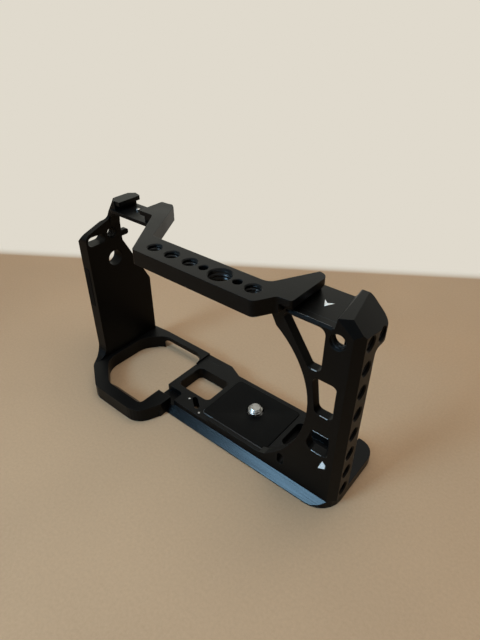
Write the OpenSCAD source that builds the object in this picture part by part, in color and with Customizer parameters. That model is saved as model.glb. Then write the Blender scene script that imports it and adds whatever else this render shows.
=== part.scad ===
// Camera cage: a milled frame that bolts round a small interchangeable-lens camera.
// Millimetres, +Z up. X runs along the camera, the lens looks towards -Y.
// The origin is under the middle of the cage, on the surface that it stands on.

/* [Cage] */
// Overall width over the two sides
cage_w = 136.3; // [134:0.1:142]
// Overall height to the top face of the bar
cage_h = 84.8; // [83:0.1:92]
// Overall depth from the nose of the battery loop to the back of the base
cage_d = 51.8; // [51:0.1:54]

/* [Lens opening] */
// Lens axis, from the right side of the cage
lens_inset = 49.75; // [47:0.05:52]
// Height of the lens axis
lens_z = 43.5; // [42:0.1:45]
// Radius of the upper part of the arc beside the lens
arc_r = 34.6; // [33:0.1:36]
// Radius of the flatter lower part of the arc
low_arc_r = 45; // [42:0.5:50]
// Where the upper part of the arc ends, above the horizontal
arc_end = 54; // [50:1:56]
// Where the lower part of the arc ends, below the horizontal
low_arc_end = 51; // [49:1:52]
// Width of the strut between the arc and the triangular window
strut_w = 2.7; // [2.4:0.1:3.2]
// Slant of the strut, from the upright
strut_a = 34.3; // [32:0.1:36]

/* [Base plate] */
// Thickness of the base plate
base_t = 6; // [5.6:0.1:7]
// Width of the quick-release dovetail at its foot
dovetail_w = 38.1; // [37.8:0.1:38.4]
// Depth of the 45 degree flanks of the dovetail
flank = 3.2; // [2.6:0.1:3.3]
// Height of the upright edge under each flank
flank_lip = 0.4; // [0.2:0.1:0.5]
// Left end of the base plate, from the left side of the cage
base_inset = 43.9; // [42:0.1:45]
// Length of the low step that the battery loop sits on
step_w = 7.7; // [7:0.1:9]
// Radius of the front right corner of the base
corner_r = 10; // [8:0.5:10.5]
// Radius of the rear corner of the thin tab
tab_r = 7; // [5:0.5:7.5]
// Width of the thin tab behind the side column
tab_w = 8; // [7:0.1:9]
// Thickness of the thin tab
tab_t = 4.3; // [4:0.1:5]
// Height of the stop lip above the base
lip_h = 1.5; // [1:0.1:2.5]
// Thickness of the stop lip
lip_t = 1.5; // [1:0.1:2]
// Left end of the stop lip, left of the lens axis
lip_reach = 13.7; // [10:0.1:18]

/* [Base openings] */
// Window left of the seat, along X
window_w = 18.7; // [14:0.1:19]
// Window left of the seat, along Y
window_d = 15.3; // [12:0.1:16]
// Window right of the seat, along X
port_window_w = 20; // [14:0.1:21]
// Window right of the seat, along Y
port_window_d = 14.4; // [12:0.1:15]
// Floor left under the window right of the seat
port_floor_t = 1.5; // [1:0.1:3]
// Front edge of both windows, behind the front face
window_back = 9.4; // [9:0.1:11]
// Corner radius of the windows
window_r = 2.2; // [1:0.1:4]
// Length of the slanting slot beside the window
slot_l = 7.4; // [6:0.1:8]
// Width of the slanting slot
slot_w = 2.4; // [2:0.1:3]

/* [Seat] */
// Width of the rubber seat pad
pad_w = 34.5; // [30:0.1:36]
// Depth of the rubber seat pad
pad_d = 27; // [24:0.1:28]
// Thickness of the rubber seat pad
pad_t = 1; // [0.8:0.1:1.4]
// How far the pad stands above the base
pad_proud = 0.3; // [0.2:0.1:0.5]
// Corner radius of the pad
pad_r = 2; // [1:0.1:4]

/* [Camera screw] */
// Outer diameter of the camera screw's thread
screw_d = 6.35; // [6.35:0.01:6.35]
// Diameter of the camera screw's head
screw_head_d = 12.4; // [11:0.1:13]
// Thickness of the camera screw's head
screw_head_t = 1.3; // [1.1:0.1:1.4]
// How far the screw stands above the pad at rest
screw_proud = 2.1; // [1.8:0.1:2.6]
// Travel of the screw up into the camera
screw_lift = 1.2; // [1:0.1:1.3]
// Thickness of the web that carries the screw
web_t = 0.8; // [0.7:0.1:0.9]
// Thickness of the retaining ring
ring_t = 0.5; // [0.4:0.1:0.5]
// Outer diameter of the retaining ring
ring_d = 9.4; // [8.8:0.1:9.8]
// Width of the mouth of the retaining ring
ring_mouth = 3.6; // [3:0.1:4]
// Clearance between the screw and the hole of the pad
pad_hole_gap = 0.55; // [0.4:0.05:1]
// Place of the screw left of the lens axis
screw_shift = 0.5; // [0:0.1:2]
// Place of the screw in front of the cage's back
screw_back = 16.6; // [15:0.1:18]

/* [Battery loop] */
// Thickness of the battery loop
loop_t = 6.8; // [6.5:0.1:7.5]
// Width of the loop's front arm at its top
loop_arm = 5.4; // [5:0.1:7]
// Width that the front arm gains towards its foot
loop_flare = 4.2; // [2:0.1:5]
// Width of the loop under the grip wall
loop_side = 7.9; // [7:0.1:9]
// Width of the thin strip behind the opening
strip_w = 3.7; // [3.5:0.1:4.5]
// Thickness of the thin strip
strip_t = 2.4; // [2:0.1:2.5]
// Thickness of the base's step under the front arm
step_t = 3; // [2.6:0.1:3.4]
// Radius of the fillet between the strip and the base
fillet_r = 6.2; // [4:0.1:7]

/* [Grip wall] */
// Thickness of the grip wall
wall_t = 5.95; // [5.5:0.05:6.5]
// Front edge of the wall, from the back of the cage
wall_front = 34.4; // [33:0.1:36]
// Rear edge of the wall, from the back of the cage
wall_back = 2.1; // [1.5:0.1:3]
// Height at which the rear slope starts
wall_slope_z = 38.3; // [34:0.1:42]
// Where the rear slope ends, below the top face of the bar
wall_neck = 20.8; // [19:0.1:24]
// The wall's outer edge in front of the post, below the top face of the bar
wall_top = 12.1; // [11:0.1:13]
// Width of the bevel along the top of the wall
wall_bevel = 3.2; // [1.5:0.1:3.4]
// Width of the post along Y
post_w = 5.2; // [4.8:0.1:6]
// Length of the strap slot
strap_l = 9.3; // [7:0.1:9.4]
// Width of the strap slot
strap_w = 4.3; // [3.4:0.1:4.4]
// Diameter of the plain hole in the wall
wall_hole_d = 7.4; // [6:0.1:8]

/* [Front frame] */
// Thickness of the arc plate
plate_t = 3.5; // [3:0.1:3.5]
// Width of the side column along X
column_w = 7.15; // [6.5:0.05:7.5]
// Depth of the side column along Y
column_d = 11; // [10:0.1:12]
// Width of the bevel on the column's front corner
bevel = 2.85; // [2:0.05:3]
// How far the ear's crest lies below the top face of the bar
crest_drop = 1.8; // [1.2:0.1:2.3]
// Width of the ear from the foot of its rise to the outer side, at its front
ear_w = 9.35; // [9:0.05:10]
// Width of the rise at the left of the ear, at its front
ear_rise = 0.9; // [0.6:0.1:1.5]
// Width of the rise at its back
rear_rise = 2.8; // [2:0.1:3.5]
// How far the foot of the rise runs to the left towards the back
rise_slant = 4.2; // [3.5:0.1:5]
// Slant of the slope's upper edge, in plan
slope_turn = 12.2; // [10:0.1:14]
// Depth of the ear and the top plate, from the front face
ear_d = 20.2; // [18:0.1:22]
// Radius of the ear's rear corner
ear_r = 3.6; // [2:0.1:4]
// Bottom of the ear's lobe, below the underside of the bar
lobe_drop = 9.5; // [9:0.1:11]
// Width of the chamfer along the top of the arc plate
edge_chamfer = 0.7; // [0.4:0.1:1]
// Number of threaded holes down the column
side_holes = 8; // [6:1:8]
// Spacing of the threaded holes down the column
side_pitch = 9.55; // [9:0.05:9.6]
// Height of the lowest threaded hole
side_z = 7.7; // [7.6:0.1:8.5]
// Place of the side holes in front of the column's back
side_hole_back = 4.6; // [4:0.1:5]

/* [Top] */
// Thickness of the top plate
top_t = 2.8; // [2.5:0.1:3.2]
// Thickness of the top bar
bar_t = 5.8; // [5.5:0.1:6.5]
// Front edge of the bar, in front of the front face
bar_front = 10.5; // [9:0.1:12]
// Width of the bar
bar_w = 12.1; // [11:0.1:13]
// Centre of the bar's hole pattern, right of the lens axis
bar_hole_shift = 0.8; // [0:0.1:1.5]
// Spacing of the three 1/4 inch holes on the left
quarter_pitch = 8.55; // [8:0.05:9]
// Spacing from the 3/8 inch hole to its 1/4 inch neighbours
big_pitch = 13.3; // [13:0.1:14]
// Spacing from the 3/8 inch hole to its locating pin holes
pin_pitch = 7.2; // [7:0.1:7.4]

/* [Cold shoe] */
// Middle of the cold shoe, from the left side of the cage
shoe_inset = 20.15; // [19:0.05:21]
// Width between the lips of the cold shoe
shoe_gap = 13; // [12.5:0.1:13.2]
// Width of the slot under the lips
shoe_slot_w = 18.7; // [18.6:0.05:18.9]
// Height of the slot under the lips
shoe_slot_h = 2.2; // [2.05:0.05:2.3]
// Thickness of the lips
shoe_lip_t = 1.8; // [1.5:0.1:2]
// Length of the rails along Y
shoe_l = 12.6; // [12:0.1:14]
// Thickness of the shoe's floor
shoe_floor_t = 1.5; // [1.4:0.1:2]
// Outer width of a rail beside the slot
rail_w = 3.7; // [3.5:0.1:4.5]

/* [Threads and screws] */
// Tapping diameter of the 1/4 inch threads
quarter_d = 5.1; // [5.1:0.01:5.2]
// Tapping diameter of the 3/8 inch thread
big_d = 7.94; // [7.94:0.01:8]
// Diameter of the locating pin holes
pin_hole_d = 3.2; // [3:0.1:3.6]
// Chamfer at the mouth of a threaded hole
mouth = 0.4; // [0.3:0.1:0.6]
// Clearance round screws, pins and inserted pieces
fit = 0.05; // [0.03:0.01:0.08]
// Diameter of the small frame screws
small_d = 2; // [2:0.1:2.2]
// Diameter of the large frame screws
large_d = 3; // [2.6:0.1:3]
// Diameter of the dowels
dowel_d = 2; // [1.6:0.1:2]

/* [Key] */
// Length of the stored flat key
key_l = 30; // [26:0.5:30]
// Width of the flat key
key_w = 7.6; // [7:0.1:8]
// Thickness of the flat key
key_t = 2; // [1.8:0.1:2.2]
// Running clearance between the key and its channel
key_gap = 0.15; // [0.1:0.05:0.2]
// Diameter of the magnets that hold the key
magnet_d = 4; // [3.5:0.1:4.5]
// Thickness of the magnets
magnet_t = 1.4; // [1:0.1:1.5]

/* [Hidden] */
$fn = 48;

// How far a cut runs past the face it opens
over = 1;

// Main planes of the cage
side_x = cage_w / 2;
rear_y = cage_d / 2;
nose_y = -cage_d / 2;
dovetail_y = rear_y - dovetail_w;
face_y = dovetail_y + flank;
plate_y = face_y + plate_t;
flank_z = flank_lip + flank;
deck_z = cage_h - bar_t;
lens_x = side_x - lens_inset;

// Base plate
base_x0 = -side_x + base_inset;
dove_x0 = base_x0 + step_w;
tab_x0 = side_x - tab_w;
window_y0 = face_y + window_back;
window_x1 = lens_x - 20.7;
window_x0 = max(window_x1 - window_w, base_x0 + 3.2);
port_window_x0 = lens_x + 18.2;
step_y0 = face_y - 7;
step_y1 = face_y + 6;
step_x1 = base_x0 + 9.7;
strip_y0 = rear_y - strip_w;
strip_z0 = loop_t - strip_t;
lap_l = 10;
strip_x1 = base_x0 + lap_l;
foot_x0 = lens_x + 15.3;

// Camera screw
screw_x = lens_x - screw_shift;
screw_y = rear_y - screw_back;
screw_rest_z = 0.2;
web_z0 = screw_rest_z + screw_head_t + screw_lift;
web_z1 = web_z0 + web_t;
screw_tip_z = base_t + pad_proud + screw_proud;
neck_d = screw_d - 1.7;
shank_d = neck_d + 0.7;
ring_recess_d = ring_d + 1;
pad_hole_d = screw_d + 2 * pad_hole_gap;
thread_z0 = base_t + pad_proud + 0.15;

// Seat pad
pad_x = lens_x - 1.1;
pad_y0 = face_y + 2.7;

// Flat key
key_x = pad_x - 12.4;
key_y1 = rear_y - flank + 0.6;
key_z0 = 0.5;
key_ceiling = key_z0 + key_t + key_gap;
key_blade_l = 4;

// Column and ear
column_x0 = side_x - column_w;
column_y1 = face_y + column_d;
hole_y = column_y1 - side_hole_back;
ear_y1 = face_y + ear_d;
ear_x0 = side_x - ear_w;
crest_z = cage_h - crest_drop;
crest_x1 = side_x - 4.3;
lobe_z = deck_z - lobe_drop;
rise_scale = rear_rise / ear_rise;
rise_x = ear_x0 + rise_slant / (rise_scale - 1);
hole_count = min(side_holes, 1 + floor((deck_z - 3 - side_z) / side_pitch));

// Top bar
bar_y0 = face_y - bar_front;
bar_y1 = bar_y0 + bar_w;
bar_hole_x = lens_x + bar_hole_shift;
bar_hole_y = (bar_y0 + bar_y1) / 2;
bar_x1 = column_x0 - 15.1;
plate_top_x = strut_x(deck_z) - strut_w;
bar_left = lens_x - 34.7;

// Cold shoe
shoe_x = -side_x + shoe_inset;
shoe_y0 = 5.7;
shoe_top = cage_h;
floor_z1 = cage_h - shoe_lip_t - shoe_slot_h;
floor_z0 = floor_z1 - shoe_floor_t;
rail_x0 = shoe_x - shoe_slot_w / 2 - rail_w;
rail_x1 = shoe_x + shoe_slot_w / 2 + rail_w + 0.8;

// Grip wall
wall_x1 = -side_x + wall_t;
wall_y0 = rear_y - wall_front;
wall_y1 = rear_y - wall_back;
post_y0 = shoe_y0 - 0.4;
post_y1 = post_y0 + post_w;
post_lean = 5.9;
post_back_y = post_y0 + 2.3;
wall_drop = 4.6;
wall_top_z = cage_h - wall_top;
wall_neck_z = cage_h - wall_neck;

// Left edge of the triangular window at a height z, along the strut
function strut_x(z) = lens_x + (arc_r + strut_w - (z - lens_z) * sin(strut_a)) / cos(strut_a);

// Round corners: each [x, y, r] of an outline becomes an arc of radius r
function unit(v) = v / norm(v);
function corner(a, p, b) =
    let (u = unit([a[0] - p[0], a[1] - p[1]]), v = unit([b[0] - p[0], b[1] - p[1]]))
    let (half = acos(u * v) / 2, c = [p[0], p[1]] + unit(u + v) * p[2] / sin(half))
    let (s = c - [p[0], p[1]] - u * p[2] / tan(half), a0 = atan2(-s[1], -s[0]))
    let (turn = sign(u[0] * v[1] - u[1] * v[0]) * (180 - 2 * half))
    [for (i = [0 : 6]) c + p[2] * [cos(a0 - turn * i / 6), sin(a0 - turn * i / 6)]];
function rounded(pts) =
    let (n = len(pts))
    [for (i = [0 : n - 1])
        each (len(pts[i]) < 3 ? [pts[i]] : corner(pts[(i + n - 1) % n], pts[i], pts[(i + 1) % n]))];

// Points of an arc from angle a0 to angle a1 about a centre
function arc(c, r, a0, a1, steps = 12) =
    [for (i = [0 : steps]) c + r * [cos(a0 + (a1 - a0) * i / steps), sin(a0 + (a1 - a0) * i / steps)]];

// Outline in plan, from z0 to z1
module slab(pts, z0, z1) {
    translate([0, 0, z0]) linear_extrude(z1 - z0) polygon(rounded(pts));
}

// Outline seen from the front (X, Z), from y0 to y1
module front_slab(pts, y0, y1) {
    translate([0, y1, 0]) rotate([90, 0, 0]) linear_extrude(y1 - y0) polygon(pts);
}

// Outline seen from the side (Y, Z), from x0 to x1
module side_slab(pts, x0, x1) {
    translate([x0, 0, 0]) rotate([90, 0, 90]) linear_extrude(x1 - x0) polygon(pts);
}

// Box with rounded upright edges
module pocket(x0, x1, y0, y1, z0, z1, r) {
    slab([[x0, y0, r], [x1, y0, r], [x1, y1, r], [x0, y1, r]], z0, z1);
}

// Countersunk screw standing on its head at z = 0, and the hole that takes it
module flat_screw(d, length) {
    difference() {
        union() {
            cylinder(d = d, h = length);
            cylinder(d1 = d * 1.9, d2 = d, h = d * 0.5);
        }
        translate([0, 0, -over]) cylinder(d = d * 0.9, h = over + d * 0.4, $fn = 6);
    }
}
module screw_hole(d, length) {
    cylinder(d = d + 2 * fit, h = length + 0.4);
    translate([0, 0, -over]) cylinder(d = d * 1.9 + 2 * fit, h = over);
    cylinder(d1 = d * 1.9 + 2 * fit, d2 = d + 2 * fit, h = d * 0.5);
}

// Threaded hole along +Z through a wall of thickness t, chamfered at its outer mouth on top
module tapped(d, t, past = over, m = mouth) {
    translate([0, 0, -past]) cylinder(d = d, h = t + past + over);
    translate([0, 0, t - m]) cylinder(d1 = d, d2 = d + 2 * m, h = m);
    translate([0, 0, t - fit]) cylinder(d = d + 2 * m, h = over);
}

// Places of the frame screws
loop_screw_at = [[base_x0 + 2.3, step_y0 + 4.8, 5.2], [base_x0 + 5.4, step_y0 + 2.3, 5.2],
    [base_x0 + 2.6, strip_y0 + strip_w / 2, 4.6], [base_x0 + 7.4, strip_y0 + strip_w / 2, 4.6]];
wall_screw_at = [for (y = [wall_y0 + 5, 8, wall_y1 - 5]) [-side_x + wall_t / 2, y]];
frame_screw_at = [for (x = [foot_x0 + 5.5, foot_x0 + 16, foot_x0 + 23.5, column_x0 + 2.8])
    [x, face_y + plate_t / 2]];
top_screw_at = [for (y = [plate_y + 8.3, ear_y1 - 3.1]) [column_x0 - 1.9, y]];
bar_screw_at = [[bar_x1 - 4.5, plate_y + 2.9], [bar_x1 - 3.6, plate_y + 8.3]];
shoe_screw_at = [for (y = [shoe_y0 + 2.8, shoe_y0 + shoe_l - 3.3]) [rail_x1 - 2.3, y]];
dowel_at = [plate_top_x + 1.8, face_y + plate_t / 2];
post_dowel_at = [for (x = [rail_x0 - 1.85, rail_x0 - 0.05]) [x, (post_back_y + post_y1) / 2]];
stop_pin_at = [shoe_x - 2, 11.9];

frame_screw_l = 8.4;
wall_screw_l = 14;
top_screw_l = 4.6;
bar_screw_l = 7.2;
shoe_screw_l = 4.2;
dowel_l = 5.8;
post_dowel_d = 1.2;
post_dowel_l = 2.3;
post_dowel_z0 = floor_z0 - 1.4;
stop_pin_d = 1.8;
stop_pin_z0 = floor_z1 - 1.1;

// ---- Base plate ----
module dovetail() {
    side_slab([[dovetail_y, 0], [rear_y, 0], [rear_y, flank_lip], [rear_y - flank, flank_z],
        [rear_y - flank, base_t], [face_y, base_t], [face_y, flank_z], [dovetail_y, flank_lip]],
        dove_x0, side_x);
}

module key_channel(gap) {
    side = key_w / 2 + gap;
    front_slab([[key_x - side + 1, key_z0 - gap], [key_x + side - 1, key_z0 - gap],
        [key_x + side, key_z0 + key_t + gap], [key_x - side, key_z0 + key_t + gap]],
        key_y1 - key_l - gap, rear_y + over);
}

module base_plate() {
    color("#1d1e20") difference() {
        union() {
            intersection() {
                dovetail();
                slab([[dove_x0, dovetail_y], [side_x, dovetail_y, corner_r], [side_x, rear_y, tab_r],
                    [dove_x0, rear_y]], 0, base_t);
            }
            // Thin tab behind the side column
            slab([[tab_x0, column_y1], [side_x, column_y1], [side_x, rear_y, tab_r], [tab_x0, rear_y]], 0, tab_t);
            // Left end, with the full height carried out to the back
            slab([[base_x0, face_y], [dove_x0 + over, face_y], [dove_x0 + over, window_y0],
                [window_x1, rear_y - flank], [window_x1 - 7, rear_y], [base_x0, rear_y]], 0, base_t);
            // Low step under the arm of the battery loop
            slab([[base_x0, step_y0], [dove_x0 - fit, step_y0], [dove_x0 - fit, face_y + over],
                [base_x0, face_y + over]], 0, step_t);
            // Stop lip in front of the camera
            front_slab([[lens_x - lip_reach, base_t - over], [foot_x0, base_t - over],
                [foot_x0, base_t + lip_h], [lens_x - lip_reach + lip_h, base_t + lip_h]],
                face_y, face_y + lip_t);
        }
        // Low pocket behind the arm of the battery loop
        slab([[base_x0 - over, face_y - over], [step_x1, face_y - over], [step_x1, step_y1, 2],
            [base_x0 - over, step_y1]], step_t, base_t + over);
        // Rebate for the loop's rear strip
        translate([base_x0 - over, strip_y0, step_t]) cube([lap_l + over, strip_w + over, base_t]);
        // Rebates for the foot of the front frame and for the thin tab
        translate([foot_x0, face_y - over, flank_z]) cube([side_x, plate_t + over, base_t]);
        translate([column_x0, face_y - over, flank_z]) cube([side_x, column_d + over, base_t]);
        translate([tab_x0, column_y1 - over, tab_t]) cube([side_x, cage_d, base_t]);
        // Windows each side of the seat
        pocket(window_x0, window_x1, window_y0, window_y0 + window_d, -over, base_t + over, window_r);
        pocket(port_window_x0, port_window_x0 + port_window_w, window_y0 + 1.4,
            window_y0 + 1.4 + port_window_d, port_floor_t, base_t + over, window_r);
        // Slanting slot
        translate([window_x1 - 3.5, face_y + 5.3, -over]) rotate([0, 0, -36])
            pocket(-slot_l / 2, slot_l / 2, -slot_w / 2, slot_w / 2, 0, base_t + 2 * over, slot_w / 2 - fit);
        // Seat of the rubber pad
        pocket(pad_x - pad_w / 2 - fit, pad_x + pad_w / 2 + fit, pad_y0 - fit, pad_y0 + pad_d + fit,
            base_t + pad_proud - pad_t, base_t + over, pad_r);
        // Stepped bore of the camera screw
        translate([screw_x, screw_y, 0]) {
            translate([0, 0, -over]) cylinder(d = screw_head_d + 0.8, h = web_z0 + over);
            cylinder(d = screw_d + 0.5, h = base_t);
            translate([0, 0, web_z1]) cylinder(d = ring_recess_d, h = base_t);
        }
        // Channel and magnet pockets of the key
        key_channel(key_gap);
        for (y = [key_y1 - key_l + 8, key_y1 - 7])
            translate([key_x, y, key_z0]) cylinder(d = magnet_d + 2 * fit, h = key_ceiling - key_z0 + magnet_t);
        // Screws from below
        for (p = loop_screw_at) translate([p[0], p[1], 0]) screw_hole(small_d, p[2]);
        for (p = frame_screw_at) translate([p[0], p[1], 0]) screw_hole(small_d, frame_screw_l);
    }
}

// ---- Battery loop ----
loop_outline = [[dove_x0 - fit, face_y], [dove_x0 - fit, face_y - 6, 2], [base_x0 + 3.4, nose_y, 9],
    [-side_x + 19.15, nose_y, 7], [wall_x1, nose_y + 8.7, 8], [-side_x, face_y + 0.2, 3],
    [-side_x, rear_y - 1.2, 6],
    [-side_x + 14, rear_y, 6], [strip_x1, rear_y], [strip_x1, strip_y0], [base_x0, strip_y0]];
module battery_loop() {
    color("#1c1d1f") difference() {
        union() {
            slab(concat(loop_outline,
                arc([base_x0 - fillet_r, strip_y0 - fillet_r], fillet_r, 0, 90),
                [[-side_x + 16.15, strip_y0, 8], [-side_x + loop_side, 13, 10],
                [-side_x + loop_side, face_y - 1, 10], [-side_x + 22.15, nose_y + loop_arm, 8],
                [base_x0, nose_y + loop_arm, 2], [base_x0, face_y]]), 0, loop_t);
            side_slab([[nose_y + over, 0], [nose_y + loop_arm + loop_flare, 0],
                [nose_y + loop_arm + loop_flare, 1.2], [nose_y + loop_arm, loop_t], [nose_y + over, loop_t]],
                -side_x + 22.15, base_x0);
        }
        // The rear strip is thin, and its end laps over the base
        translate([-side_x + 12.15, strip_y0 - over, -over])
            cube([base_x0 + side_x - 12.15, strip_w + 2 * over, strip_z0 + over]);
        translate([base_x0 - fillet_r - over, strip_y0 - fillet_r - over, -over])
            cube([fillet_r + over, fillet_r + 2 * over, strip_z0 + over]);
        translate([base_x0, strip_y0 - over, -over]) cube([lap_l + over, strip_w + 2 * over, step_t + over]);
        translate([base_x0, strip_y0 - over, base_t]) cube([lap_l + over, strip_w + 2 * over, loop_t]);
        // The front arm sits on the base's step
        translate([base_x0, step_y0, -over]) cube([step_w + over, cage_d, step_t + over]);
        for (p = loop_screw_at) translate([p[0], p[1], 0]) screw_hole(small_d, p[2]);
        for (p = wall_screw_at) translate([p[0], p[1], 0]) screw_hole(large_d, wall_screw_l);
    }
}

// ---- Grip wall ----
module grip_wall() {
    profile = rounded([[wall_y0 - 6.5, loop_t], [wall_y0, loop_t + 0.3, 5.5],
        [wall_y0, wall_top_z - wall_drop + wall_bevel, 3.4], [post_y0, wall_top_z + wall_bevel, 2],
        [post_y0, floor_z0], [post_y1, floor_z0], [post_y1, wall_neck_z], [wall_y1, wall_slope_z, 3],
        [wall_y1, loop_t]]);
    color("#191a1c") difference() {
        union() {
            intersection() {
                side_slab(profile, -side_x, wall_x1);
                slab(loop_outline, 0, cage_h);
            }
            // The post spreads inwards under the shoe
            front_slab([[wall_x1 - over, wall_top_z], [wall_x1, wall_top_z], [wall_x1 + 0.6, floor_z0 - 2.8],
                [rail_x0 + rail_w - over, floor_z0], [wall_x1 - over, floor_z0]], post_y0, post_y1);
            // Small lug behind the threaded hole
            side_slab(rounded([[post_y1 - over, wall_neck_z + 1.8], [post_y1 + 3.8, wall_neck_z + 1.8, 1],
                [post_y1 + 3.8, wall_neck_z + 4.4, 1], [post_y1 - over, wall_neck_z + 4.4]]),
                wall_x1 - 2.4, wall_x1);
        }
        // Outer face of the post leans in, and more so at its front
        front_slab([[-side_x - over, wall_top_z], [-side_x, wall_top_z], [-side_x + 3.75, wall_top_z + 2.6],
            [-side_x + post_lean, floor_z0], [-side_x + post_lean, cage_h], [-side_x - over, cage_h]],
            post_y0 - cage_d, post_back_y);
        front_slab([[-side_x - over, wall_top_z], [-side_x, wall_top_z], [-side_x + 2, wall_top_z + 3.4],
            [-side_x + 3.9, floor_z0], [-side_x + 3.9, cage_h], [-side_x - over, cage_h]],
            post_back_y - fit, post_y1 + over);
        // Bevel along the top of the wall
        translate([-side_x, wall_y0, wall_top_z - wall_drop])
            rotate([atan(wall_drop / (post_y0 - wall_y0)), 0, 0])
            front_slab([[-over, -over], [wall_bevel + over, wall_bevel + over], [-over, wall_bevel + over]],
                -wall_t, wall_front);
        // Strap slot
        translate([-side_x - over, wall_y0 + 0.95 + strap_l / 2, wall_top_z - 4.4]) rotate([90, 0, 90])
            pocket(-strap_l / 2, strap_l / 2, -strap_w / 2, strap_w / 2, 0, wall_t + 2 * over,
                strap_w / 2 - fit);
        // Threaded and plain holes
        translate([wall_x1, post_y0, wall_top_z - 3.6]) rotate([0, -90, 0]) tapped(quarter_d, wall_t);
        translate([-side_x - over, post_y0, wall_top_z - 16.1]) rotate([0, 90, 0])
            cylinder(d = wall_hole_d, h = wall_t + 2 * over);
        for (p = wall_screw_at) translate([p[0], p[1], 0]) screw_hole(large_d, wall_screw_l);
        for (p = post_dowel_at)
            translate([p[0], p[1], post_dowel_z0 - fit]) cylinder(d = post_dowel_d + 2 * fit, h = 4);
    }
}

// ---- Front frame ----
module front_frame() {
    arc_x = lens_x + arc_r;
    arc_top = min(arc_end, asin((deck_z - 4 - lens_z) / arc_r));
    plate = concat([[column_x0 + over, flank_z], [column_x0 + over, deck_z], [plate_top_x, deck_z],
        [plate_top_x, deck_z - 3.5]],
        arc([arc_x - arc_r, lens_z], arc_r, arc_top, 0),
        arc([arc_x - low_arc_r, lens_z], low_arc_r, -3, -low_arc_end),
        [[foot_x0, base_t + lip_h], [foot_x0, flank_z]]);
    ear = [[column_x0, flank_z], [side_x, flank_z], [side_x, cage_h], [ear_x0 - rise_slant, cage_h],
        [ear_x0 - rise_slant, deck_z], [column_x0, deck_z]];
    lobe = rounded([[face_y, flank_z], [column_y1, flank_z], [column_y1, lobe_z, 2], [ear_y1, lobe_z, 4.8],
        [ear_y1, crest_z + 0.5, 2.5], [face_y, crest_z + 0.5]]);
    rise = [for (i = [0 : 8]) [i / 8 * ear_rise, (1 - cos(180 * i / 8)) / 2 * (crest_z - deck_z)]];
    color("#1e1f21") difference() {
        union() {
            front_slab(plate, face_y, plate_y);
            intersection() {
                front_slab(ear, face_y, ear_y1);
                side_slab(lobe, ear_x0 - bar_t, side_x + over);
                slab([[ear_x0 - bar_t, face_y], [side_x - bevel, face_y], [side_x, face_y + bevel],
                    [side_x, ear_y1, ear_r], [ear_x0 - bar_t, ear_y1]], 0, cage_h);
            }
        }
        // The ear rises in a curve that gets steeper towards the back, up to the flat crest
        translate([rise_x, face_y, deck_z]) rotate([90, 0, 0]) mirror([0, 0, 1])
            linear_extrude(ear_d, scale = [rise_scale, 1], slices = 8)
            translate([ear_x0 - rise_x, 0])
            polygon(concat([[-bar_t, 2 * bar_t], [-bar_t, 0]], rise,
                [[ear_w + over, crest_z - deck_z], [ear_w + over, 2 * bar_t]]));
        // Slope down to the outer side
        translate([crest_x1, face_y, crest_z]) rotate([0, 0, slope_turn]) rotate([0, 45, 0])
            translate([-over, -2 * over - bar_t, 0]) cube([40, cage_d, 40]);
        // Bevel along the front of the crest and of the slope
        translate([crest_x1 - 4.1, face_y + 0.25, crest_z]) rotate([0, -32, -59.5])
            translate([0, -30, -30]) cube([20, 60, 60]);
        // Chamfer along the top of the plate
        translate([bar_x1 - 4, face_y, deck_z]) rotate([45, 0, 0])
            translate([0, -edge_chamfer, -edge_chamfer / sqrt(2)])
            cube([ear_x0 - bar_x1 + 3.4, 2 * edge_chamfer, sqrt(2) * edge_chamfer]);
        // Triangular, slanted and lower windows
        front_slab(rounded([[strut_x(deck_z - 1.3), deck_z - 1.3, 1.2], [column_x0 - 4.6, deck_z - 1.3, 2.5],
            [column_x0 - 4.6, 61, 2], [strut_x(61), 61, 1.2]]), face_y - over, plate_y + over);
        front_slab(rounded([[column_x0 - 7.4, 58.3, 2], [column_x0 + 1.7, 58.3, 2],
            [column_x0 + 1.7, 43.6, 2], [column_x0 - 5.2, 43.6, 2]]), face_y - over, plate_y);
        front_slab(rounded([[column_x0 - 5.4, 35.2, 0.8], [column_x0 + 1.8, 35.2, 0.8],
            [column_x0 + 1.8, 25.7, 0.8], [column_x0 - 7.6, 25.7, 3]]), face_y - over, plate_y);
        // Small slot in the foot
        translate([foot_x0 + 10.3, face_y, base_t + 5.4]) rotate([90, 0, 0])
            pocket(-1.5, 1.5, -2.7, 2.7, -plate_t - over, over, 1.4);
        // Threaded holes
        translate([column_x0 - 0.5, plate_y, deck_z - 4]) rotate([90, 0, 0]) tapped(quarter_d, plate_t, 0.1);
        for (i = [0 : hole_count - 1])
            translate([column_x0, hole_y, side_z + i * side_pitch]) rotate([0, 90, 0]) tapped(quarter_d, column_w);
        translate([column_x0, hole_y + 8, deck_z - 5.4]) rotate([0, 90, 0]) tapped(quarter_d, column_w);
        // Screws and dowel
        for (p = frame_screw_at) translate([p[0], p[1], 0]) screw_hole(small_d, frame_screw_l);
        for (p = top_screw_at) translate([p[0], p[1], deck_z - top_t]) screw_hole(2.5, top_screw_l);
        translate([dowel_at[0], dowel_at[1], deck_z - dowel_l / 2 - fit])
            cylinder(d = dowel_d + 2 * fit, h = dowel_l + 2 * fit);
    }
}

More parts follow.
